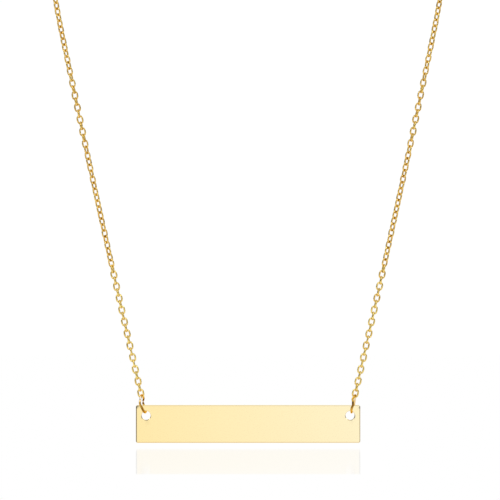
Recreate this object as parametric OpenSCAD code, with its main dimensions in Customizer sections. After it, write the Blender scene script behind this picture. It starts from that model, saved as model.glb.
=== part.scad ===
// Bar pendant on a fine cable chain: a flat bar hung level by two jump rings,
// with a chain from each ring that meets a clasp at the back of the neck.
// All sizes are millimetres. +Z is up and the front of the bar faces -Y.
// The origin is the middle of the clasp, where the necklace hangs on the nape.

/* [Bar] */
// Length of the bar
bar_w = 35; // [25:0.5:45]
// Height of the bar
bar_h = 5.9; // [4.5:0.1:9]
// Thickness of the bar
bar_t = 0.6; // [0.4:0.05:0.7]
// Rounding of the bar's four corners
corner_r = 0.3; // [0.1:0.05:1]
// Bevel along the edges of the bar's two faces
edge_bevel = 0.1; // [0.02:0.01:0.15]
// Diameter of the hole near each end of the bar
hole_d = 1.55; // [1.4:0.05:2]
// Bevel round the mouths of the two holes
hole_bevel = 0.06; // [0.02:0.01:0.12]
// From the bar's end to the middle of its hole
hole_side = 1.6; // [1.3:0.05:3]
// From the bar's top edge down to the middle of its hole
hole_top = 1.62; // [1.3:0.02:2]

/* [Jump rings] */
// Outer diameter of a jump ring
ring_od = 3.1; // [2.9:0.05:4]
// Thickness of a jump ring's wire
ring_wire = 0.33; // [0.25:0.01:0.4]
// How far the two rings on the bar lean outwards, in degrees
ring_lean = 12; // [4:1:20]
// Turn of the left ring about its own upright, in degrees
left_turn = 14; // [0:1:15]
// Turn of the right ring about its own upright, in degrees
right_turn = 10; // [0:1:15]
// Where a ring's wire sits in its hole, in degrees out from the hole's top
seat_angle = 18; // [0:1:25]
// Clearance between a ring's wire and the wall of its hole
seat_gap = 0.13; // [0.1:0.01:0.2]

/* [Chain] */
// Outer width of a chain link
link_w = 1.06; // [0.95:0.01:1.3]
// Thickness of a link's wire
link_wire = 0.19; // [0.14:0.01:0.22]
// Distance from one link's middle to the next
link_pitch = 0.95; // [0.85:0.01:1.2]
// Clearance where two links pull on each other
link_gap = 0.1; // [0.1:0.01:0.14]
// Clearance between an end link and the ring that it passes through
hook_gap = 0.06; // [0.04:0.01:0.12]
// Links in the open front stretch on each side
front_links = 68; // [40:1:80]
// Clearance at each end of the chain's back stretch
join_gap = 0.1; // [0.05:0.01:0.3]

/* [Clasp] */
// Outer diameter of the clasp's ring
clasp_od = 5.5; // [4.5:0.1:7]
// Thickness of the clasp's wire
clasp_wire = 1.0; // [0.7:0.05:1.2]
// Outer diameter of the small eye on the clasp
eye_od = 2.0; // [1.7:0.05:2.4]
// Thickness of the eye's wire
eye_wire = 0.5; // [0.4:0.05:0.6]
// Clearance between the catch ring and the clasp
catch_gap = 0.1; // [0.06:0.01:0.2]

/* [Hidden] */
$fn = 48;

// Route of the right-hand chain, from the bar up over the side of the neck and round
// to the nape: distance out from the middle, distance back and height above the nape.
route = [
    [16.7, -88, -108],
    [20.1, -88, -93],
    [24.5, -88, -73],
    [28.7, -88, -53],
    [31.5, -87.5, -40],
    [36, -83, -30.5],
    [42, -75, -23],
    [47.8, -62, -16.5],
    [50.7, -46, -11],
    [48.8, -30, -6.5],
    [42, -16.5, -3],
    [30.5, -6.5, -1],
    [17.5, -1.3, -0.2],
    [4.4, 0, 0]
];

// Turn of the links about the chain, in degrees, at a distance along it
twist = [
    [0, 0],
    [18, 0],
    [26, 45],
    [38, 45],
    [44, 90],
    [52, 90],
    [58, 135],
    [66, 135]
];

// Steps along the smooth curve between two route points
route_steps = 10;
// Half the stretch of chain over which its direction is taken
heading_reach = 0.7;
// Sides and rings of a back stretch
tube_sides = 8;
tube_rings = 40;
// Extra length of a cut past the face that it goes through
spill = 1;

// A link and where its end wires lie from its middle
link_len = link_pitch + 2 * link_wire + link_gap;
link_r = (link_w - link_wire) / 2;
link_side = (link_len - link_w) / 2;
link_reach = (link_len - link_wire) / 2;

// From the middle of a ring's wire to the middle of a link that hangs in it
ring_r = (ring_od - ring_wire) / 2;
ring_hook = link_reach - (link_wire + ring_wire) / 2 - hook_gap;
eye_hook = link_reach - (link_wire + eye_wire) / 2 - hook_gap;

// The bar hangs below the chain's first link by its ring
seat_r = hole_d / 2 - ring_wire / 2 - seat_gap;
front_y = route[0].y;
hole_x = bar_w / 2 - hole_side;
seat_x = hole_x + seat_r * sin(seat_angle);
seat_z = route[0].z - (2 * ring_r + ring_hook) * cos(ring_lean);
hole_z = seat_z - seat_r * cos(seat_angle);
bar_z = hole_z + hole_top - bar_h / 2;
ring_x = seat_x + ring_r * sin(ring_lean);
ring_z = seat_z + ring_r * cos(ring_lean);
start_x = seat_x + (2 * ring_r + ring_hook) * sin(ring_lean);

// The clasp, its eye and the catch ring lie in line, centred between the two last links
clasp_r = (clasp_od - clasp_wire) / 2;
eye_r = (eye_od - eye_wire) / 2;
eye_from_clasp = clasp_r + eye_r + clasp_wire / 4;
catch_from_clasp = clasp_r - (clasp_wire + ring_wire) / 2 - catch_gap + ring_r;
left_reach = eye_from_clasp + eye_r + eye_hook;
right_reach = catch_from_clasp + ring_r + ring_hook;
end_x = (left_reach + right_reach) / 2;
clasp_x = (left_reach - right_reach) / 2;

// Share of the way from the first route point to the last
function share(i) = i / (len(route) - 1);

// Route point i, moved out with the bar at the front and with the clasp at the back
function placed(i) =
    let (
        at_bar = start_x - route[0].x,
        at_clasp = end_x - route[len(route) - 1].x,
        out = at_bar * (1 - share(i)) + at_clasp * share(i)
    )
    route[i] + [out, 0, 0];

stops = [for (i = [0:len(route) - 1]) placed(i)];

// Point number i of the route, carried on straight past its two ends
function stop(i) =
    i < 0 ? 2 * stops[0] - stops[1] :
    i >= len(stops) ? 2 * stops[len(stops) - 1] - stops[len(stops) - 2] :
    stops[i];

// Smooth curve through the route: share t of the way from point i to the next
function between(i, t) =
    let (a = stop(i - 1), b = stop(i), c = stop(i + 1), d = stop(i + 2))
    (2 * b + (c - a) * t + (2 * a - 5 * b + 4 * c - d) * pow(t, 2)
        + (3 * b - 3 * c + d - a) * pow(t, 3)) / 2;

path = [
    for (i = [0:len(stops) - 2], k = [0:route_steps - 1]) between(i, k / route_steps),
    stops[len(stops) - 1]
];

// Distance along the chain at each point of the curve
run = [
    for (
        i = 0, s = 0;
        i < len(path);
        i = i + 1, s = i < len(path) ? s + norm(path[i] - path[i - 1]) : s
    )
        s
];
chain_len = run[len(run) - 1];

// Place and direction of the chain at distance s along it
function column(c) = [for (i = [0:len(path) - 1]) [run[i], path[i][c]]];
columns = [column(0), column(1), column(2)];
function at(s) = [for (c = [0:2]) lookup(s, columns[c])];
function heading(s) =
    let (v = at(s + heading_reach) - at(s - heading_reach))
    v / norm(v);
function tilt(s) = acos(heading(s).z);
function bearing(s) = atan2(heading(s).y, heading(s).x);

// Real distance between links, so that a whole number of them fills the chain
link_count = round(chain_len / link_pitch) + 1;
link_step = chain_len / (link_count - 1);

// The back stretch runs from past the last front link to short of the clasp
tube_from = (front_links - 1) * link_step + link_len / 2 + join_gap;
tube_to = chain_len + eye_hook - eye_wire / 2 - join_gap;

// A round wire bent into a full ring in the XY plane
module wire_ring(radius, wire) {
    rotate_extrude()
        translate([radius, 0])
            circle(d = wire);
}

// One link, upright along Z and facing Y: two bends and the two straights between them
module link() {
    rotate([90, 0, 0])
        for (end = [0, 1])
            rotate([0, 0, 180 * end]) {
                translate([0, link_side])
                    rotate_extrude(angle = 180)
                        translate([link_r, 0])
                            circle(d = link_wire);
                translate([link_r, 0])
                    rotate([90, 0, 0])
                        cylinder(d = link_wire, h = 2 * link_side, center = true);
            }
}

// Links of the front stretch of the right-hand chain, each a quarter turn from the last
module front_stretch() {
    for (i = [0:front_links - 1]) {
        s = i * link_step;
        translate(at(s))
            rotate([0, tilt(s), bearing(s)])
                rotate([0, 0, lookup(s, twist) + 90 * (i % 2)])
                    link();
    }
}

// One point on the skin of the back stretch, at distance s and side k
function skin(s, k) =
    let (
        turn = 360 * k / tube_sides,
        up = [cos(tilt(s)) * cos(bearing(s)), cos(tilt(s)) * sin(bearing(s)), -sin(tilt(s))],
        across = [-sin(bearing(s)), cos(bearing(s)), 0]
    )
    at(s) + link_w / 2 * (cos(turn) * up + sin(turn) * across);

// Number of the point at side k of tube ring j
function corner(j, k) = j * tube_sides + k % tube_sides;

// The back stretch of the right-hand chain, as a tube as wide as its links
module back_stretch() {
    points = [
        for (j = [0:tube_rings - 1], k = [0:tube_sides - 1])
            skin(tube_from + (tube_to - tube_from) * j / (tube_rings - 1), k)
    ];
    walls = [
        for (j = [0:tube_rings - 2], k = [0:tube_sides - 1])
            [corner(j, k), corner(j + 1, k), corner(j + 1, k + 1), corner(j, k + 1)]
    ];
    first_end = [for (k = [0:tube_sides - 1]) corner(0, k)];
    last_end = [for (k = [tube_sides - 1:-1:0]) corner(tube_rings - 1, k)];
    polyhedron(points, concat(walls, [first_end, last_end]));
}

// Cross-section of a bar a by b with its four edges cut off by the bevel
module bevelled(a, b) {
    polygon([
        for (p = [[1, 1], [-1, 1], [-1, -1], [1, -1]], q = p.x * p.y > 0 ? [0, 1] : [1, 0])
            [p.x * (a / 2 - edge_bevel * q), p.y * (b / 2 - edge_bevel * (1 - q))]
    ]);
}

// Front outline of the bar, with round corners
module outline() {
    square([bar_w - 2 * corner_r, bar_h], center = true);
    square([bar_w, bar_h - 2 * corner_r], center = true);
    for (x = [-1, 1], y = [-1, 1])
        translate([x * (bar_w / 2 - corner_r), y * (bar_h / 2 - corner_r)])
            circle(r = corner_r);
}

// Drill for one hole with a bevel at each mouth
module hole_cut() {
    rotate([90, 0, 0]) {
        cylinder(d = hole_d, h = bar_t + 2 * spill, center = true);
        for (side = [0, 1])
            mirror([0, 0, side])
                translate([0, 0, bar_t / 2 - hole_bevel])
                    cylinder(d1 = hole_d, d2 = hole_d + 2 * (hole_bevel + spill), h = hole_bevel + spill);
    }
}

module bar_plate() {
    color([0.98, 0.88, 0.60])
        difference() {
            translate([0, front_y, bar_z])
                intersection() {
                    rotate([90, 0, 0])
                        linear_extrude(bar_t, center = true)
                            outline();
                    rotate([0, 90, 0])
                        linear_extrude(bar_w + spill, center = true)
                            bevelled(bar_h, bar_t);
                    linear_extrude(bar_h + spill, center = true)
                        bevelled(bar_w, bar_t);
                }
            for (side = [-1, 1])
                translate([side * hole_x, front_y, hole_z])
                    hole_cut();
        }
}

// Jump ring on one side of the bar, upright through the hole and leaning with the chain
module jump_ring(side, turn) {
    translate([side * ring_x, front_y, ring_z])
        rotate([0, side * ring_lean, 0])
            rotate([0, 90, -turn])
                wire_ring(ring_r, ring_wire);
}

module ring_left() {
    color([0.86, 0.66, 0.30])
        jump_ring(-1, left_turn);
}

module ring_right() {
    color([0.86, 0.66, 0.30])
        jump_ring(1, right_turn);
}

module chain_left_front() {
    color([0.90, 0.72, 0.36])
        mirror([1, 0, 0])
            front_stretch();
}

module chain_right_front() {
    color([0.90, 0.72, 0.36])
        front_stretch();
}

module chain_left_back() {
    color([0.90, 0.72, 0.36])
        mirror([1, 0, 0])
            back_stretch();
}

module chain_right_back() {
    color([0.90, 0.72, 0.36])
        back_stretch();
}

// The clasp lies flat against the nape, with the left chain's eye soldered to its side
module clasp() {
    color([0.90, 0.72, 0.36])
        translate([clasp_x, 0, 0])
            rotate([90, 0, 0]) {
                wire_ring(clasp_r, clasp_wire);
                translate([-eye_from_clasp, 0, 0])
                    wire_ring(eye_r, eye_wire);
            }
}

// The catch ring holds the right chain's last link and passes through the clasp
module catch_ring() {
    color([0.86, 0.66, 0.30])
        translate([clasp_x + catch_from_clasp, 0, 0])
            wire_ring(ring_r, ring_wire);
}

bar_plate();
ring_left();
ring_right();
chain_left_front();
chain_right_front();
chain_left_back();
chain_right_back();
clasp();
catch_ring();
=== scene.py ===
import math

import bmesh
import bpy
import numpy as np
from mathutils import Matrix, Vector


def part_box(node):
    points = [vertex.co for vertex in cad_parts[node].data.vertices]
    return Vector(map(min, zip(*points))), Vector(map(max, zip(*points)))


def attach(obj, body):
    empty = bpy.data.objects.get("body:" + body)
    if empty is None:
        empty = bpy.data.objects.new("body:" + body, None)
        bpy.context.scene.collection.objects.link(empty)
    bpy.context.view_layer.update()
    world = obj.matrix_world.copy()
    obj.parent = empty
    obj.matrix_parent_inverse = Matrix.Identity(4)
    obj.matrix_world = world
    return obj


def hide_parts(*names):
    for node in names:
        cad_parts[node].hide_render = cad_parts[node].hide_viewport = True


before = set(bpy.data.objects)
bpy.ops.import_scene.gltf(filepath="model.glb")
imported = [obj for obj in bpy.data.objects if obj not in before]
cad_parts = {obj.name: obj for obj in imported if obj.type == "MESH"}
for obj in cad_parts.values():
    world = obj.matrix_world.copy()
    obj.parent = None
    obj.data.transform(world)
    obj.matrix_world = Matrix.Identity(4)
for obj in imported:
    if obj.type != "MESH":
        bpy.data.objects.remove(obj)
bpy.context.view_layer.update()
print("frame loaded:", ", ".join(sorted(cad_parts)))

mm = 0.001  # metres in a millimetre
barLow, barHigh = (np.array(c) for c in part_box("bar_plate"))
barMiddle = (barLow + barHigh) / 2
barSize = barHigh - barLow
sides = ((-1, "left"), (1, "right"))


# Camera and stage

cameraLook = {
    "across": 0.296 * mm,  # to the right of the bar's middle
    "rise": 27.13 * mm,  # above the bar's middle
    "distance": 1.0,  # in front of the bar's middle
    "field": 78.0 * mm,  # width of the picture at the bar
    "sensor": 36.0,  # in millimetres, as Blender counts it
    "clip": (0.01, 100.0),  # nearest and farthest that it sees
}


def makeCamera(look):
    data = bpy.data.cameras.new("camera")
    data.sensor_width = look["sensor"]
    data.lens = look["sensor"] * look["distance"] / look["field"]
    data.clip_start, data.clip_end = look["clip"]
    camera = bpy.data.objects.new("camera", data)
    camera.location = Vector(barMiddle) + Vector((look["across"], -look["distance"], look["rise"]))
    camera.rotation_euler = (math.pi / 2, 0, 0)
    bpy.context.scene.collection.objects.link(camera)
    bpy.context.scene.camera = camera
    bpy.context.scene.view_settings.view_transform = "Standard"  # keeps the white ground white


stageLook = {
    "gap": 0.55 * mm,  # from the bar down to the floor
    "size": 1.6,  # side of the floor
    "floorDusk": (0.85, 0.77, 0.66),  # the floor as the metal sees it, warm with the gold's own glow
    "strip": (1.02, 1.02, 1.02),  # the floor's bright strip in front of the bar, as the metal sees it
    "stripSide": (0.05, 0.10),  # half its width, full and faded
    "stripStart": (0.090, 0.098),  # where it starts, faded and full, in front of the clasp
    "floorShine": 0.29,  # share of the floor's light that mirrors the bar, seen from level with it
    "shineFall": 8.0,  # how fast that share falls as the eye rises
    "shineEnd": (0.209, 0.215),  # where the shine stops, full and faded, in front of the clasp
    "shineStart": (0.070, 0.086),  # where it starts, faded and full
    "shineSide": (0.0180, 0.0195),  # half its width, full and faded
    "floorRoughness": 0.08,
    "skyWhite": 1.02,  # what the camera sees behind everything
    "skyBase": 0.22,  # what the metal sees where no card is
}

cards = [  # soft white cards that the metal sees: direction, full out to, fading out to, brightness
    ((0.0, -1.0, 0.05), 8, 20, 0.77),
    ((0.0, 1.0, 0.0), 25, 50, 0.83),
    ((0.0, -0.1, 1.0), 20, 60, 0.9),
    ((1.0, 0.0, 0.1), 10, 45, 0.15),
    ((-1.0, 0.0, 0.035), 4, 7, 0.78),  # this and the next keep the floor white in side views
    ((1.0, 0.0, 0.035), 4, 7, 0.63),
]

lightLook = [  # name, direction from the bar's middle, distance, width, height, brightness
    ("leftPanel", (-0.8, -1.0, 0.8), 1.5, 0.35, 0.5, 5.0),
    ("rightPanel", (0.8, -1.0, 0.8), 1.5, 0.35, 0.5, 5.0),
]


def addNode(tree, kind, **settings):
    node = tree.nodes.new(kind)
    for key, value in settings.items():
        setattr(node, key, value)
    return node


def feed(tree, socket, value):
    # links another node's output to the socket, or sets a plain value on it
    if isinstance(value, bpy.types.NodeSocket):
        tree.links.new(value, socket)
    else:
        socket.default_value = value


def ramp(tree, value, fromLow, fromHigh, toLow, toHigh, **settings):
    # from toLow to toHigh while the value goes from fromLow to fromHigh, and steady past them
    node = addNode(tree, "ShaderNodeMapRange", **settings)
    tree.links.new(value, node.inputs["Value"])
    node.inputs["From Min"].default_value = fromLow
    node.inputs["From Max"].default_value = fromHigh
    node.inputs["To Min"].default_value = toLow
    node.inputs["To Max"].default_value = toHigh
    return node.outputs["Result"]


def calc(tree, operation, *values):
    node = addNode(tree, "ShaderNodeMath", operation=operation)
    for socket, value in zip(node.inputs, values):
        feed(tree, socket, value)
    return node.outputs["Value"]


def mixed(tree, share, first, second, kind="RGBA"):
    node = addNode(tree, "ShaderNodeMix", data_type=kind)
    for label, value in (("Factor", share), ("A", first), ("B", second)):
        feed(tree, node.inputs[label], value)
    return node.outputs["Result"]


def makeSky(look, cardTable):
    # white to the camera; to the metal a dim grey plus each card's brightness, which fades
    # with the angle between the direction seen and the card's own
    world = bpy.data.worlds.new("sky")
    world.use_nodes = True
    tree = world.node_tree
    seen = addNode(tree, "ShaderNodeTexCoord").outputs["Generated"]
    glow = look["skyBase"]
    for direction, inner, outer, brightness in cardTable:
        nearness = addNode(tree, "ShaderNodeVectorMath", operation="DOT_PRODUCT")
        tree.links.new(seen, nearness.inputs[0])
        nearness.inputs[1].default_value = Vector(direction).normalized()
        faded, full = (math.cos(math.radians(angle)) for angle in (outer, inner))
        card = ramp(
            tree, nearness.outputs["Value"], faded, full, 0, brightness, interpolation_type="SMOOTHSTEP"
        )
        glow = calc(tree, "ADD", card, glow)
    toCamera = addNode(tree, "ShaderNodeLightPath").outputs["Is Camera Ray"]
    ground = tree.nodes["Background"]
    ground.inputs["Color"].default_value = (1, 1, 1, 1)
    strength = mixed(tree, toCamera, glow, look["skyWhite"], "FLOAT")
    tree.links.new(strength, ground.inputs["Strength"])
    bpy.context.scene.world = world


def makeLights(table):
    # a panel's power is its brightness times pi times its area
    for name, direction, distance, width, height, brightness in table:
        data = bpy.data.lights.new(name, "AREA")
        data.shape = "RECTANGLE"
        data.size = width
        data.size_y = height
        data.energy = brightness * math.pi * width * height
        light = bpy.data.objects.new(name, data)
        towards = Vector(direction).normalized()
        light.location = Vector(barMiddle) + towards * distance
        light.rotation_euler = towards.to_track_quat("Z", "Y").to_euler()
        light.visible_camera = False
        bpy.context.scene.collection.objects.link(light)


def floorFinish(look):
    # to the camera white, with a mirror image that fades away from the bar and as the eye rises;
    # to the metal warm, with a bright strip in front of the bar
    material = bpy.data.materials.new("whiteAcrylic")
    material.use_nodes = True
    tree = material.node_tree
    tree.nodes.remove(tree.nodes["Principled BSDF"])
    coords = addNode(tree, "ShaderNodeTexCoord")
    parts = addNode(tree, "ShaderNodeSeparateXYZ")
    tree.links.new(coords.outputs["Object"], parts.inputs["Vector"])
    beside = calc(tree, "ABSOLUTE", parts.outputs["X"])
    ahead = calc(tree, "MULTIPLY", parts.outputs["Y"], -1.0)

    withinSide = ramp(tree, beside, *look["stripSide"], 1, 0)
    withinStart = ramp(tree, ahead, *look["stripStart"], 0, 1)
    strip = calc(tree, "MULTIPLY", withinSide, withinStart)
    toMetal = mixed(tree, strip, (*look["floorDusk"], 1), (*look["strip"], 1))
    toCamera = addNode(tree, "ShaderNodeLightPath").outputs["Is Camera Ray"]
    matt = addNode(tree, "ShaderNodeEmission")
    tree.links.new(mixed(tree, toCamera, toMetal, (1, 1, 1, 1)), matt.inputs["Color"])

    shine = addNode(tree, "ShaderNodeBsdfGlossy")
    shine.inputs["Color"].default_value = (1, 1, 1, 1)
    shine.inputs["Roughness"].default_value = look["floorRoughness"]
    slant = addNode(tree, "ShaderNodeLayerWeight")
    slant.inputs["Blend"].default_value = 0.5
    share = calc(tree, "POWER", slant.outputs["Facing"], look["shineFall"])
    reaches = (
        ramp(tree, ahead, *look["shineStart"], 0, look["floorShine"]),
        ramp(tree, ahead, *look["shineEnd"], 1, 0),
        ramp(tree, beside, *look["shineSide"], 1, 0),
    )
    for reach in reaches:
        share = calc(tree, "MULTIPLY", share, reach)
    blend = addNode(tree, "ShaderNodeMixShader")
    tree.links.new(share, blend.inputs["Fac"])
    tree.links.new(matt.outputs["Emission"], blend.inputs[1])
    tree.links.new(shine.outputs["BSDF"], blend.inputs[2])
    tree.links.new(blend.outputs["Shader"], tree.nodes["Material Output"].inputs["Surface"])
    return material


def makeFloor(look):
    half = look["size"] / 2
    height = float(barLow[2]) - look["gap"]
    corners = [(x * half, y * half, height) for x, y in ((-1, -1), (1, -1), (1, 1), (-1, 1))]
    mesh = bpy.data.meshes.new("floor")
    mesh.from_pydata(corners, [], [(0, 1, 2, 3)])
    mesh.materials.append(floorFinish(look))
    floor = bpy.data.objects.new("floor", mesh)
    bpy.context.scene.collection.objects.link(floor)


makeCamera(cameraLook)
makeSky(stageLook, cards)
makeLights(lightLook)
makeFloor(stageLook)
print("camera, sky, lights and floor made")


# Gold finishes

barGold = {
    "tonesAndLight": ((1.0, 0.812, 0.41), (1.0, 0.88, 0.57)),  # painted reflection: the colour at the bar's left and right end, paler to the right
    "edgeTone": (1.0, 0.92, 0.75),  # towards the outline of a round form
    "clouds": 0.006,  # how much soft clouds shift the tone
    "cloudScale": 160.0,  # clouds in a metre
    "roughness": (0.05, 0.11),
    "grainScale": 2600.0,
    "waviness": 0.0000003,  # height of the polish's slow waves, in metres
    "waveScale": 220.0,
    "scratches": 0.00000025,
    "paintedShade": (0.22, 0.19, 0.12),  # the painted shade's colour, where that attribute is 1
}

wireGold = {
    "tonesAndLight": ((0.86, 0.57, 0.15), (0.98, 0.77, 0.25)),  # of one link and another: painted light along the chain and chance set where each falls between them
    "edgeTone": (1.0, 0.88, 0.60),
    "clouds": 0.06,
    "cloudScale": 700.0,
    "roughness": (0.08, 0.18),
    "grainScale": 9000.0,
    "waviness": 0.0000015,
    "waveScale": 1500.0,
    "scratches": 0.0000004,
    # the painted shade's colour where links cross
    "paintedShade": (0.30, 0.08, 0.005),
}

ringGold = {
    "tonesAndLight": ((1.0, 0.60, 0.09), (1.0, 0.95, 0.85)),  # plain, and the painted highlight's colour where the tone attribute is 1
    "edgeTone": (1.0, 0.80, 0.40),
    "clouds": 0.05,
    "cloudScale": 500.0,
    "roughness": (0.04, 0.12),
    "grainScale": 6000.0,
    "waviness": 0.000002,
    "waveScale": 900.0,
    "scratches": 0.0000004,
    # the painted shade's colour of the rings' dark places
    "paintedShade": (0.22, 0.10, 0.01),
}


noiseSpan = (0.3, 0.7)  # nearly all values of a noise lie between these
noiseDetail = {"clouds": 3.0, "grain": 2.0, "waves": 1.0}


def noise(tree, place, scale, detail):
    node = addNode(tree, "ShaderNodeTexNoise")
    tree.links.new(place, node.inputs["Vector"])
    node.inputs["Scale"].default_value = scale
    node.inputs["Detail"].default_value = detail
    return node.outputs["Fac"]


def bump(tree, height, distance, normal=None):
    node = addNode(tree, "ShaderNodeBump")
    tree.links.new(height, node.inputs["Height"])
    node.inputs["Distance"].default_value = distance
    if normal:
        tree.links.new(normal, node.inputs["Normal"])
    return node.outputs["Normal"]


def paintedLightAcross(tree, place):
    # painted reflection: 0 at the bar's left end, 1 at its right end
    parts = addNode(tree, "ShaderNodeSeparateXYZ")
    tree.links.new(place, parts.inputs["Vector"])
    return ramp(tree, parts.outputs["X"], float(barLow[0]), float(barHigh[0]), 0, 1)


def toneAndLightByPiece(tree, place):
    # each link or ring has a tone of its own, which also carries painted light along the chain and
    # painted highlights on the rings
    return addNode(tree, "ShaderNodeAttribute", attribute_name="toneAndLight").outputs["Fac"]


def goldMaterial(name, look, toneAndLightFrom):
    # polished gold: two tones mixed by painted light or a piece's tone, soft clouds in them, painted
    # shade, grain in the shine, slow waves and hairlines
    material = bpy.data.materials.new(name)
    material.use_nodes = True
    tree = material.node_tree
    shader = tree.nodes["Principled BSDF"]
    shader.inputs["Metallic"].default_value = 1.0
    shader.inputs["Specular Tint"].default_value = (*look["edgeTone"], 1)
    place = addNode(tree, "ShaderNodeTexCoord").outputs["Object"]

    first, second = ((*toneAndLight, 1) for toneAndLight in look["tonesAndLight"])
    tonesAndLight = mixed(tree, toneAndLightFrom(tree, place), first, second)
    clouds = noise(tree, place, look["cloudScale"], noiseDetail["clouds"])
    clouded = addNode(tree, "ShaderNodeVectorMath", operation="SCALE")
    tree.links.new(tonesAndLight, clouded.inputs["Vector"])
    tree.links.new(ramp(tree, clouds, *noiseSpan, 1 - look["clouds"], 1), clouded.inputs["Scale"])
    # painted shade: the colour goes towards the shade colour where this attribute rises
    paintedShade = addNode(tree, "ShaderNodeAttribute", attribute_name="paintedShade").outputs["Fac"]
    colour = mixed(tree, paintedShade, clouded.outputs["Vector"], (*look["paintedShade"], 1))
    tree.links.new(colour, shader.inputs["Base Color"])

    grain = noise(tree, place, look["grainScale"], noiseDetail["grain"])
    tree.links.new(ramp(tree, grain, *noiseSpan, *look["roughness"]), shader.inputs["Roughness"])

    waves = noise(tree, place, look["waveScale"], noiseDetail["waves"])
    slow = bump(tree, waves, look["waviness"])
    fine = bump(tree, grain, look["scratches"], slow)
    tree.links.new(fine, shader.inputs["Normal"])
    return material


barFinish = goldMaterial("polishedBarGold", barGold, paintedLightAcross)
wireFinish = goldMaterial("chainWireGold", wireGold, toneAndLightByPiece)
ringFinish = goldMaterial("jumpRingGold", ringGold, toneAndLightByPiece)
print("finishes made")


# Surfaces as arrays

def gridFaces(rows, columns, closeRows=False, closeColumns=False):
    # quads between points numbered row by row, wrapped round in a closed direction
    r = np.arange(rows if closeRows else rows - 1)[:, None]
    c = np.arange(columns if closeColumns else columns - 1)[None, :]
    rNext, cNext = (r + 1) % rows, (c + 1) % columns
    corners = [r * columns + c, rNext * columns + c, rNext * columns + cNext, r * columns + cNext]
    return np.stack([k.ravel() for k in corners], 1)


def joined(grids):
    # one list of points and one of quads from several (points, quads)
    starts = np.cumsum([0] + [len(p) for p, q in grids[:-1]])
    return np.vstack([p for p, q in grids]), np.vstack([q + k for (p, q), k in zip(grids, starts)])


def welded(points, quads, grid=1e-8):
    # points that lie on one another, to a hundredth of a micrometre, become one
    keys = np.round(points / grid).astype(np.int64)
    _, first, back = np.unique(keys, axis=0, return_index=True, return_inverse=True)
    return points[first], back.reshape(-1)[quads]


def unit(arrows):
    return arrows / np.linalg.norm(arrows, axis=-1, keepdims=True)


def fade(distance, span):
    # 1 up to the span's first value, from there falling evenly to 0 at its second
    return np.interp(distance, span, (1, 0))


def spots(angle, table):
    # the sum over the table of amount * exp(-(degrees from the place / half its width)^2)
    away = [(angle - at + 180) % 360 - 180 for at, _, _ in table]
    return sum(k * np.exp(-(far / width) ** 2) for far, (_, width, k) in zip(away, table))


def makePiece(name, points, quads, finish, body, nodes, toneAndLight=0.5, paintedShade=0.0):
    mesh = bpy.data.meshes.new(name)
    mesh.vertices.add(len(points))
    mesh.vertices.foreach_set("co", points.astype(np.float32).ravel())
    mesh.loops.add(quads.size)
    mesh.loops.foreach_set("vertex_index", quads.astype(np.int32).ravel())
    mesh.polygons.add(len(quads))
    mesh.polygons.foreach_set("loop_start", np.arange(0, quads.size, 4, dtype=np.int32))
    mesh.update(calc_edges=True)
    mesh.validate()
    work = bmesh.new()
    work.from_mesh(mesh)
    bmesh.ops.recalc_face_normals(work, faces=work.faces)
    work.to_mesh(mesh)
    work.free()
    mesh.shade_smooth()
    # one attribute holds tone with painted light or highlights, the other painted shade
    for label, amount in (("toneAndLight", toneAndLight), ("paintedShade", paintedShade)):
        values = np.broadcast_to(amount, len(points)).astype(np.float32)
        mesh.attributes.new(label, "FLOAT", "POINT").data.foreach_set("value", values)
    mesh.materials.append(finish)
    piece = bpy.data.objects.new(name, mesh)
    bpy.context.scene.collection.objects.link(piece)
    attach(piece, body)
    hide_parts(*nodes)


# Bar

bar = {
    "corner": 0.3 * mm,  # rounding of the four corners
    "rim": 0.15 * mm,  # rounding of the edges
    "dullEnds": {"left": 1.0, "right": 0.5},  # how much painted shade the front rims of the ends get
    "endFade": (0.8, 1.1333),  # from the end, in rim roundings: shaded up to, unshaded from
    "frontFade": (0.5, 1.0),  # the same from the front face
    # a spot of painted shade near each upper corner: from the end, from the top, its radius, how dark
    "dullCorners": {
        "left": (0.24 * mm, 0.24 * mm, 0.17 * mm, 1.0),
        "right": (0.15 * mm, 0.40 * mm, 0.20 * mm, 0.4),
    },
    "hole": 1.40 * mm,
    "mouth": 0.11 * mm,  # rounding of a hole's mouth
    # painted shade at places in the holes' mouths: degrees round from the top, half their width, how
    # dark
    "dullMouths": {
        "left": ((172, 20, 1.0), (242, 14, 1.0)),
        "right": ((112, 30, 1.3), (165, 12, 0.7)),
    },
    "mouthFade": (0.4, 1.4),  # from the hole's wall, in mouth roundings: shaded up to, unshaded from
    "holeSide": 1.6 * mm,  # from the bar's end to its hole
    "holeTop": 1.62 * mm,  # from the top edge to the hole
    "holeZone": 3.4 * mm,  # width of the face round a hole
    "edgeRow": 0.03 * mm,  # a flat strip inside each rounding
    "steps": (8, 6, 14, 40, 16),  # zone's top, a corner, an end, the long middle, the zone's inner side
    "rimSteps": 7,  # points round a rounding
    "rows": 4,  # of quads between a hole's mouth and the outline of its zone
}


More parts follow.
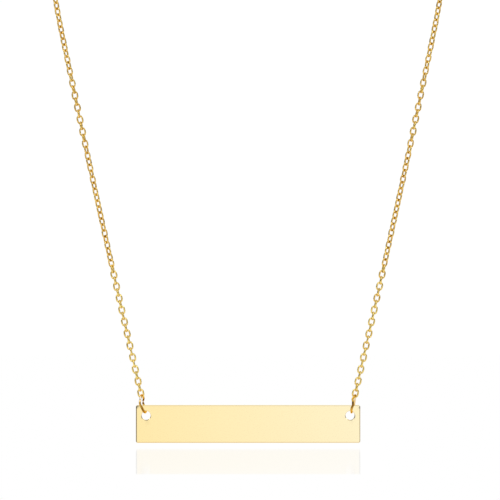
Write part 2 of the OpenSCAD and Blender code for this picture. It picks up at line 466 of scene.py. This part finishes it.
def outlineRow(look):
    # a rectangle's points with the direction out from each; a corner's points share one place
    # and turn, so that place + reach * direction is a rectangle with round corners
    x, z = barSize[[0, 2]] / 2 - look["corner"]
    side = barSize[0] / 2 - look["holeZone"]
    top, corner, end, middle, _ = look["steps"]
    table = [  # from, to, turn at from, turn at to, steps
        ((side, -z), (x, -z), -90, -90, top),
        ((x, -z), (x, -z), -90, 0, corner),
        ((x, -z), (x, z), 0, 0, end),
        ((x, z), (x, z), 0, 90, corner),
        ((x, z), (side, z), 90, 90, top),
        ((side, z), (-side, z), 90, 90, middle),
        ((-side, z), (-x, z), 90, 90, top),
        ((-x, z), (-x, z), 90, 180, corner),
        ((-x, z), (-x, -z), 180, 180, end),
        ((-x, -z), (-x, -z), 180, 270, corner),
        ((-x, -z), (-side, -z), 270, 270, top),
        ((-side, -z), (side, -z), 270, 270, middle),
    ]
    places = np.vstack([np.linspace(a, b, n, endpoint=False) for a, b, _, _, n in table])
    turns = np.radians(np.concatenate([np.linspace(a, b, n, endpoint=False) for _, _, a, b, n in table]))
    return places, np.stack([np.cos(turns), np.sin(turns)], 1)


def roundedEdge(halfDepth, radius, strip, steps):
    # reach and depth of a plate's edge: flat strip, quarter round, side, quarter round, flat strip;
    # a quarter round is radius * (sin t - 1) out and halfDepth - radius * (1 - cos t) deep
    t = np.linspace(0, np.pi / 2, steps)
    out = np.concatenate([[-radius - strip], radius * (np.sin(t) - 1)])
    deep = np.concatenate([[halfDepth], halfDepth - radius * (1 - np.cos(t))])
    return np.concatenate([out, out[::-1]]), np.concatenate([-deep, deep[::-1]])


def sheet(places, y, closeRows=True):
    # points and quads from rows of (x, z), with each column's y
    depths = np.broadcast_to(y, places.shape[:2])
    points = np.stack([places[..., 0], depths, places[..., 1]], -1)
    return points.reshape(-1, 3), gridFaces(*depths.shape, closeRows)


def plateSurface(look):
    # the bar about its own middle: edge carried round the outline, hole walls, and flat faces
    # ruled from each hole's mouth to the outline of its zone
    endX, backY, topZ = barSize / 2
    faces = (-backY, backY)
    places, outward = outlineRow(look)
    out, deep = roundedEdge(backY, look["rim"], look["edgeRow"], look["rimSteps"])
    reach = look["corner"] + out
    edge = places[:, None, :] + reach[None, :, None] * outward[:, None, :]
    grids = [sheet(edge, deep)]

    top, corner, end, middle, inner = look["steps"]
    faceLine = edge[:, 0, :]
    side, height = faceLine[0] * (1, -1)
    zoneCount = 2 * top + 2 * corner + end
    up = np.linspace(height, -height, inner + 1)
    innerLine = np.stack([np.full(inner - 1, side), up[1:-1]], 1)
    holeOut, holeDeep = roundedEdge(backY, look["mouth"], look["edgeRow"], look["rimSteps"])
    holeRadius = look["hole"] / 2 - holeOut
    share = np.linspace(0, 1, look["rows"] + 1)[None, :, None]
    for sign, start in ((1, 0), (-1, zoneCount + middle)):
        outline = np.vstack([faceLine[start:start + zoneCount + 1], sign * innerLine])
        centre = np.array([sign * (endX - look["holeSide"]), topZ - look["holeTop"]])
        away = unit(outline - centre)
        wall = centre + holeRadius[None, :, None] * away[:, None, :]
        flat = wall[:, :1, :] * (1 - share) + outline[:, None, :] * share
        grids += [sheet(wall, holeDeep)] + [sheet(flat, y) for y in faces]
    across = np.linspace(-side, side, middle + 1)
    middleFace = np.stack(np.meshgrid(across, up, indexing="ij"), -1)
    grids += [sheet(middleFace, y, closeRows=False) for y in faces]
    return welded(*joined(grids))


def barShade(points, look):
    # how much painted shade each point about the bar's middle gets: on the front rim of each end,
    # in a spot near each upper corner, and at places in the holes' mouths
    endX, backY, topZ = barSize / 2
    paintedShade = np.zeros(len(points))
    front = fade((points[:, 1] + backY) / look["rim"], look["frontFade"])
    for side, name in sides:
        across = points[:, 0] - side * (endX - look["holeSide"])
        up = points[:, 2] - (topZ - look["holeTop"])
        fromHole = np.hypot(across, up) - look["hole"] / 2
        inMouth = fade(fromHole / look["mouth"], look["mouthFade"])
        paintedShade += inMouth * spots(np.degrees(np.arctan2(across, up)), look["dullMouths"][name])
        fromEnd = endX - side * points[:, 0]
        paintedShade += front * look["dullEnds"][name] * fade(fromEnd / look["rim"], look["endFade"])
        spotEnd, spotTop, radius, dull = look["dullCorners"][name]
        away = np.hypot(fromEnd - spotEnd, topZ - points[:, 2] - spotTop)
        paintedShade += front * dull * np.exp(-(away / radius) ** 2)
    return np.clip(paintedShade, 0, 1)


points, quads = plateSurface(bar)
# painted shade on the bar
paintedShade = barShade(points, bar)
makePiece("bar", points + barMiddle, quads, barFinish, "bar", ["bar_plate"], paintedShade=paintedShade)
print("bar made:", len(quads), "quads")


# Jump rings

rings = {
    "outer": 3.1 * mm,
    "wire": 0.33 * mm,
    "steps": (72, 16),  # round the ring, round its wire
    # closed cuts: degrees round the ring, share of the wire's thickness, half the width in degrees
    "cuts": {"left": (80, 0.85, 3.0), "right": (150, 0.35, 1.2), "catch": (90, 0.35, 1.2)},
    "crowding": 1.6,  # over 1 draws the steps together at the cut
    "catchTone": 0.25,
}


def wireRing(look, name, centre, up, side):
    # a ring of round wire: centre + R * (cos a * up + sin a * side), and round that
    # r * (cos b * outward + sin b * axis), where r dips at the closed cut
    steps, wireSteps = look["steps"]
    cutAt, cutDepth, cutWidth = look["cuts"][name]
    away = np.linspace(-1, 1, steps, endpoint=False)
    crowded = np.sign(away) * np.abs(away) ** look["crowding"]
    a = (np.radians(cutAt) + np.pi * crowded)[:, None, None]
    b = np.linspace(0, 2 * np.pi, wireSteps, endpoint=False)[None, :, None]
    ring = (look["outer"] - look["wire"]) / 2
    dip = cutDepth * np.exp(-((np.degrees(a) - cutAt) / cutWidth) ** 2)
    wire = look["wire"] / 2 * (1 - dip)
    outward = np.cos(a) * up + np.sin(a) * side
    points = centre + ring * outward + wire * (np.cos(b) * outward + np.sin(b) * np.cross(up, side))
    turn = np.broadcast_to(np.degrees(a) % 360, points.shape[:2] + (1,)).ravel()
    return points.reshape(-1, 3), gridFaces(steps, wireSteps, True, True), turn


hang = {
    "lean": 12.0,  # degrees that the rings on the bar lean outwards
    "turns": {"left": 14.0, "right": 6.0},  # degrees that each turns about its own upright
    "aside": {"left": 0.0, "right": 0.09 * mm},  # how far a ring sits from its solid's place
    # bends in a ring: degrees round it from its top, half their width, how many mm to the right
    "bent": {
        "left": ((90, 28, -0.38), (275, 25, -0.16)),
        "right": ((304, 15, -0.19), (257, 14, 0.08)),
    },
    # painted shade and painted highlights round a ring: degrees round it from its top, half their
    # width, how dark or how bright
    "dull": {
        "left": ((64, 15, 1.0), (92, 8, 0.9), (238, 30, 0.9)),
        "right": ((262, 26, 1.0), (350, 22, 0.6)),
    },
    "paintedHighlight": {
        "left": ((310, 17, 1.0),),
        "right": ((50, 35, 1.0),),
    },
}


def hangingRing(side, name):
    # the ring's plane holds its leaning upright and a line turned out of the bar's depth
    lean = math.radians(hang["lean"]) * side
    turn = math.radians(hang["turns"][name])
    up = np.array([math.sin(lean), 0, math.cos(lean)])
    level = np.array([math.cos(lean), 0, -math.sin(lean)])
    across = math.sin(turn) * level + np.array([0, math.cos(turn), 0])
    low, high = (np.array(c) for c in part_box("ring_" + name))
    centre = (low + high) / 2 + np.array([hang["aside"][name], 0, 0])
    points, quads, angle = wireRing(rings, name, centre, up, across)
    points[:, 0] += spots(angle, hang["bent"][name]) * mm
    # painted highlights and painted shade round the ring
    toneAndLight, paintedShade = (np.clip(spots(angle, hang[key][name]), 0, 1) for key in ("paintedHighlight", "dull"))
    return points, quads, toneAndLight, paintedShade


for side, name in sides:
    points, quads, toneAndLight, paintedShade = hangingRing(side, name)
    nodes = ["ring_" + name]
    makePiece("jumpRing_" + name, points, quads, ringFinish, "necklace", nodes, toneAndLight, paintedShade)
print("jump rings made")


# Chain

chain = {
    # route of the right side from the bar round to the nape: out, back and height above the nape
    "route": np.array([
        [16.7, -88, -108],
        [20.1, -88, -93],
        [24.5, -88, -73],
        [28.7, -88, -53],
        [31.5, -87.5, -40],
        [36, -83, -30.5],
        [42, -75, -23],
        [47.8, -62, -16.5],
        [50.7, -46, -11],
        [48.8, -30, -6.5],
        [42, -16.5, -3],
        [30.5, -6.5, -1],
        [17.5, -1.3, -0.2],
        [4.4, 0, 0],
    ]) * mm,
    "firstOut": 16.737 * mm,  # first link's distance from the middle
    "lastOut": 4.385 * mm,  # last link's distance from the middle
    # turn of the links about the chain, in degrees, at a distance along it in mm
    "twist": np.array([
        [0, 0], [18.5, 0], [20.2, 20], [21.3, 43], [22.8, 52], [24.7, 52], [25.7, 58], [26.6, 52],
        [27.6, 45], [28.6, 38], [30.5, 45], [32.3, 43], [33.2, 35], [35, 26], [36.3, 35], [37.1, 40],
        [38, 32], [40, 20], [42, 13], [48, 14], [50.6, 23], [52.6, 33], [54.6, 28], [55.5, 38],
        [57.4, 50], [59.4, 40], [62.3, 52], [66, 45],
    ]),
    # how far every other link is turned past square to the next, in degrees, in the same way
    "skew": np.array([[0, 6], [17, 6], [21, 3], [39, 3], [42, 0]]),
    # how bright the links are painted, 0 to 1, in the same way: painted light, brighter near the bar
    "toneAndLight": np.array([[0, 0.85], [17, 0.8], [22, 0.35], [66, 0.35], [70, 0.5]]),
    "toneSpread": 0.15,
    "contactShade": (1.0, 0.5),  # how dark the painted shade inside a link's bends is, where the next links cross, and how far round, as a share
    "pitch": 0.95 * mm,
    "width": 1.06 * mm,
    "wire": 0.255 * mm,
    "length": 1.46 * mm,
    "routeSteps": 10,  # points between two of the route's
    "headingReach": 0.7 * mm,  # how far each way a link looks for the chain's direction
    "bendSteps": 6,  # points round one end of a link
    "sides": 6,  # round the wire
    "fullness": 1.08,  # makes up for the flats of a six-sided wire
    "rollSpread": 2.5,  # degrees
    "tiltSpread": 2.0,
    "seeds": {"left": 12, "right": 11},
    # how far the front stretch sways outwards and its links slip along, in mm, in the same way
    "sway": {
        "left": np.array([[0, 0], [66, 0.11], [90, 0]]),
        "right": np.array([[0, 0], [66, -0.03], [90, 0]]),
    },
    "slip": {
        "left": np.array([[12, 0], [22, -0.14], [40, -0.14], [50, 0]]),
        "right": np.array([[14, 0], [24, -0.05], [40, -0.05], [52, 0.12], [66, 0.14], [80, 0]]),
    },
}


def smoothRoute(stops, steps):
    # a curve through a, b, c, d: at share t from b to c it is half of
    # 2b + (c - a)t + (2a - 5b + 4c - d)t^2 + (3b - 3c + d - a)t^3
    ends = np.vstack([2 * stops[0] - stops[1], stops, 2 * stops[-1] - stops[-2]])
    a, b, c, d = (ends[k:len(ends) - 3 + k, None, :] for k in range(4))
    t = (np.arange(steps) / steps)[None, :, None]
    square = (2 * a - 5 * b + 4 * c - d) * t ** 2
    cube = (3 * b - 3 * c + d - a) * t ** 3
    curve = (2 * b + (c - a) * t + square + cube) / 2
    return np.vstack([curve.reshape(-1, 3), stops[-1]])


def linkSurface(look):
    # one link, upright: an oval line (R cos a, 0, R sin a) with its two halves moved apart, and
    # round it r * (cos b * outward + sin b * y)
    wire = look["wire"] / 2 * look["fullness"]
    bend = (look["width"] - look["wire"]) / 2
    apart = (look["length"] - look["width"]) / 2
    half = np.linspace(0, np.pi, look["bendSteps"])
    a = np.concatenate([half, half + np.pi])[:, None]
    lift = np.repeat([apart, -apart], look["bendSteps"])[:, None]
    b = np.linspace(0, 2 * np.pi, look["sides"], endpoint=False)[None, :]
    x = (bend + wire * np.cos(b)) * np.cos(a)
    z = (bend + wire * np.cos(b)) * np.sin(a) + lift
    y = wire * np.sin(b) + 0 * a
    # painted shade inside each bend, where the neighbouring links cross
    dull, reach = look["contactShade"]
    contactShaded = dull * np.exp(-(np.cos(a) / reach) ** 2) * (1 - np.cos(b)) / 2
    points = np.stack([x, y, z], -1).reshape(-1, 3)
    return points, gridFaces(len(a), look["sides"], True, True), contactShaded.ravel()


def chainRoute(look, name):
    # points along the middle line of one side, and how far along it each is
    stops = look["route"].copy()
    startShift = look["firstOut"] - stops[0, 0]
    endShift = look["lastOut"] - stops[-1, 0]
    stops[:, 0] += np.linspace(startShift, endShift, len(stops))
    path = smoothRoute(stops, look["routeSteps"])
    run = np.concatenate([[0], np.cumsum(np.linalg.norm(np.diff(path, axis=0), axis=1))])
    path[:, 0] += np.interp(run, *look["sway"][name].T * mm)
    return path, run


def linkAxes(look, s, heading, rng):
    # each link's own x, y and z: z is the heading, tilted a little, and x and y are upward and
    # across, turned about it by twist, by 90 + skew at every other link, and a little by chance
    count = len(s)
    across = unit(np.stack([-heading[:, 1], heading[:, 0], 0 * s], -1))
    upward = np.cross(across, heading)
    twist, skew = (np.interp(s / mm, *look[key].T) for key in ("twist", "skew"))
    roll = twist + (90 + skew) * (np.arange(count) % 2)
    roll = np.radians(roll + rng.normal(0, look["rollSpread"], count))[:, None]
    tilt = np.radians(rng.normal(0, look["tiltSpread"], (count, 2)))
    x = np.cos(roll) * upward + np.sin(roll) * across
    y = np.cos(roll) * across - np.sin(roll) * upward
    z = unit(heading + tilt[:, :1] * x + tilt[:, 1:] * y)
    x = unit(np.cross(y, z))
    return np.stack([x, np.cross(z, x), z], 1)


def chainSurface(look, side, name):
    # every link of one side: its place on the route + x * across + y * through + z * along
    path, run = chainRoute(look, name)

    def place(s):
        return np.stack([np.interp(s, run, path[:, k]) for k in range(3)], -1)

    rng = np.random.default_rng(look["seeds"][name])
    count = round(run[-1] / look["pitch"]) + 1
    s = np.linspace(0, run[-1], count)
    s += np.interp(s, *look["slip"][name].T * mm)
    heading = unit(place(s + look["headingReach"]) - place(s - look["headingReach"]))
    axes = linkAxes(look, s, heading, rng)
    shape, quads, contactShaded = linkSurface(look)
    points = place(s)[:, None, :] + np.einsum("pk,lkc->lpc", shape, axes)
    points[..., 0] *= side
    allQuads = quads[None, :, :] + len(shape) * np.arange(count)[:, None, None]
    # painted light along the chain, plus a tone by chance for each link
    toneAndLight = np.interp(s / mm, *look["toneAndLight"].T) + rng.normal(0, look["toneSpread"], count)
    toneAndLight = np.repeat(np.clip(toneAndLight, 0, 1), len(shape))
    return points.reshape(-1, 3), allQuads.reshape(-1, 4), toneAndLight, np.tile(contactShaded, count)


for side, name in sides:
    points, quads, toneAndLight, paintedShade = chainSurface(chain, side, name)
    nodes = ["chain_" + name + "_front", "chain_" + name + "_back"]
    makePiece("chain_" + name, points, quads, wireFinish, "necklace", nodes, toneAndLight, paintedShade)
    print("chain made:", name, len(quads), "quads")


# Clasp and catch ring

clasp = {
    "outer": 5.5 * mm,
    "wire": 1.0 * mm,
    "eyeOuter": 2.0 * mm,
    "eyeWire": 0.5 * mm,
    "across": -0.17 * mm,  # middle of the clasp's ring
    "solder": 0.3 * mm,  # how softly the eye runs into the ring
    "toneAndLight": 0.25,
    "cell": 0.07 * mm,  # of the grid that its surface is found in
    "margins": (3, 4),  # cells between its box and the grid's start and end
    "relaxRounds": 6,
    "settleSteps": 3,
    "slopeStep": 0.02,  # of a cell, either way, to measure a slope
}


def ringField(p, centre, ring, wire):
    # distance from the skin of a ring that faces Y
    q = p - centre
    return np.hypot(np.hypot(q[..., 0], q[..., 2]) - ring, q[..., 1]) - wire


def claspField(p):
    # the two distances a and b run together: with h = 0.5 + (b - a) / 2k between 0 and 1,
    # b + (a - b)h - kh(1 - h)
    ring = (clasp["outer"] - clasp["wire"]) / 2
    eye = (clasp["eyeOuter"] - clasp["eyeWire"]) / 2
    middle = np.array([clasp["across"], 0, 0])
    eyeMiddle = middle - np.array([ring + eye + clasp["wire"] / 4, 0, 0])
    a = ringField(p, middle, ring, clasp["wire"] / 2)
    b = ringField(p, eyeMiddle, eye, clasp["eyeWire"] / 2)
    k = clasp["solder"]
    h = np.clip(0.5 + (b - a) / (2 * k), 0, 1)
    return b + (a - b) * h - k * h * (1 - h)


def fieldSkin(field, low, high, look):
    # the surface where field is 0: a point in each cell of a grid that it passes through, and a
    # quad round each grid line that it crosses
    cell = look["cell"]
    before, after = look["margins"]
    start = low - before * cell
    axes = [np.arange(a, b, cell) for a, b in zip(start, high + after * cell)]
    inside = field(np.stack(np.meshgrid(*axes, indexing="ij"), -1)) < 0
    ends = (slice(None, -1), slice(1, None))
    filled = sum(inside[i, j, k].astype(int) for i in ends for j in ends for k in ends)
    active = (filled > 0) & (filled < 8)  # some of the cell's eight corners are inside, not all
    number = np.cumsum(active.ravel()).reshape(active.shape) - 1
    points = start + (np.argwhere(active) + 0.5) * cell
    quads = []
    for axis in range(3):
        solid, numbers = np.moveaxis(inside, axis, 0), np.moveaxis(number, axis, 0)
        i, j, k = np.nonzero(solid[:-1, 1:-1, 1:-1] != solid[1:, 1:-1, 1:-1])
        corners = [numbers[i, j + a, k + b] for a, b in ((0, 0), (1, 0), (1, 1), (0, 1))]
        quads.append(np.stack(corners, 1))
    quads = np.vstack(quads)
    return settled(field, points, quads, look), quads


def settled(field, points, quads, look):
    # each point goes half way to the mean of its neighbours, then back to the surface, by
    # -field * slope / slope^2
    step = look["cell"] * look["slopeStep"]
    edges = np.stack([quads, np.roll(quads, -1, axis=1)], -1).reshape(-1, 2)
    degree = np.bincount(edges.ravel(), minlength=len(points))[:, None]
    for _ in range(look["relaxRounds"]):
        total = np.zeros_like(points)
        np.add.at(total, edges[:, 0], points[edges[:, 1]])
        np.add.at(total, edges[:, 1], points[edges[:, 0]])
        points = (points + total / degree) / 2
        for _ in range(look["settleSteps"]):
            rise = [field(points + reach) - field(points - reach) for reach in np.eye(3) * step]
            slope = np.stack(rise, -1) / (2 * step)
            points = points - field(points)[:, None] * slope / (slope ** 2).sum(1)[:, None]
    return points


low, high = (np.array(c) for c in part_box("clasp"))
points, quads = fieldSkin(claspField, low, high, clasp)
makePiece("clasp", points, quads, ringFinish, "necklace", ["clasp"], clasp["toneAndLight"])
low, high = (np.array(c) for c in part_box("catch_ring"))
points, quads, _ = wireRing(rings, "catch", (low + high) / 2, np.array([1, 0, 0]), np.array([0, 1, 0]))
makePiece(
    "catchRing", points, quads, ringFinish, "necklace", ["catch_ring"], rings["catchTone"]
)
print("clasp and catch ring made")
